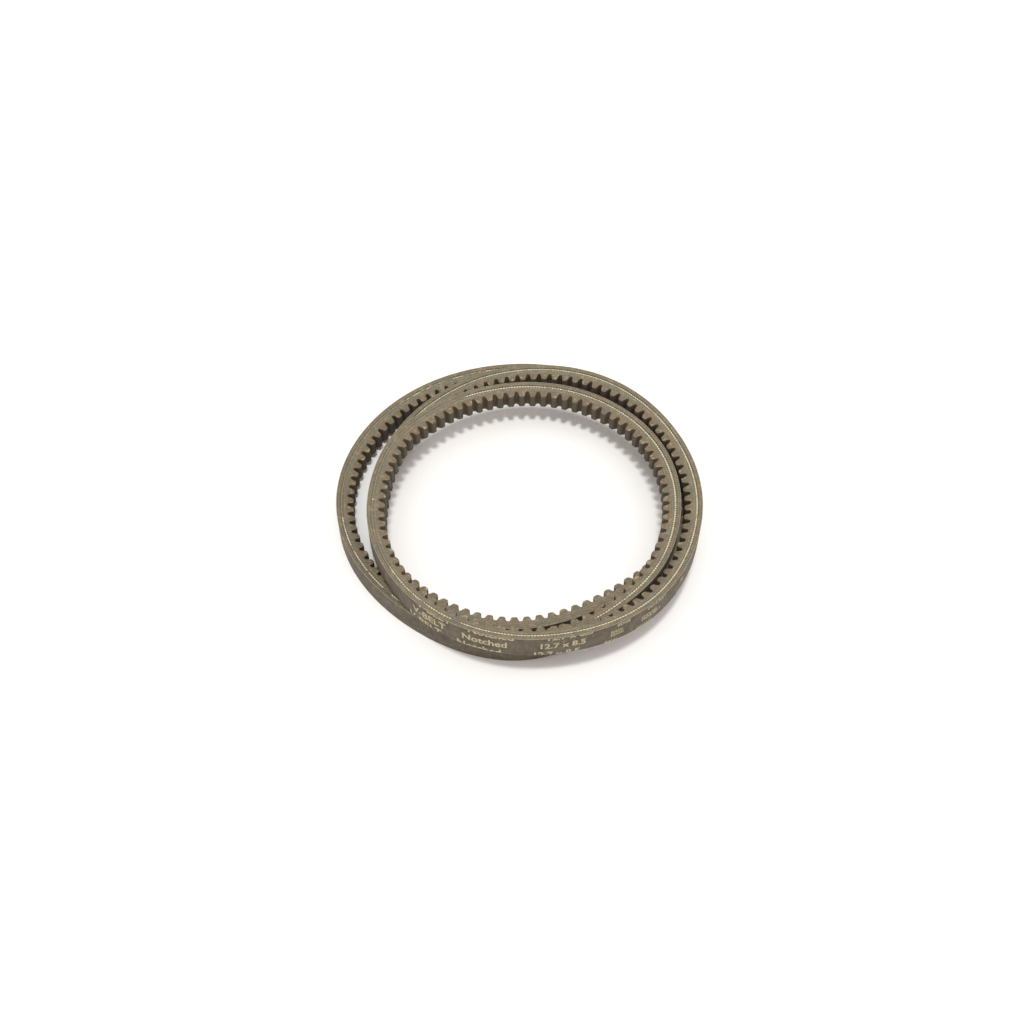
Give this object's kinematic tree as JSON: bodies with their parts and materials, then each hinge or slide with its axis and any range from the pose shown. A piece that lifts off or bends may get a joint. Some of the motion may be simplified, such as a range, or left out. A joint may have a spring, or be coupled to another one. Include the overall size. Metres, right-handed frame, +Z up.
{
  "type": "v belt",
  "caption": "Endless raw-edge V belt with a moulded notched underside, stored as a flat three-turn coil; its slanted flanks ride in pulley grooves.",
  "frame": {"origin": "centre of the coil's bounding box, on the floor it rests on", "axes": "+Z up, along the belt's width as it stands on edge; -Y faces the marked stretch of the back"},
  "size_m": [0.181, 0.1931, 0.0277],
  "materials": {
    "back_ply": "matte, fine weave",
    "overcord": "ground raw edge",
    "gum": "ground raw edge",
    "cord": "twisted polyester yarn",
    "cushion": "ground raw edge",
    "undercord": "ground raw edge with short fibres",
    "marking": "worn ink film"
  },
  "bodies": {
    "root": {"back_ply": "back_ply", "overcord_rubber": "overcord", "upper_cord_gum": "gum", "tensile_cord": "cord", "lower_cord_gum": "gum", "cushion_rubber": "cushion", "notched_undercord": "undercord", "back_marking": "marking"}
  },
  "joints": []
}
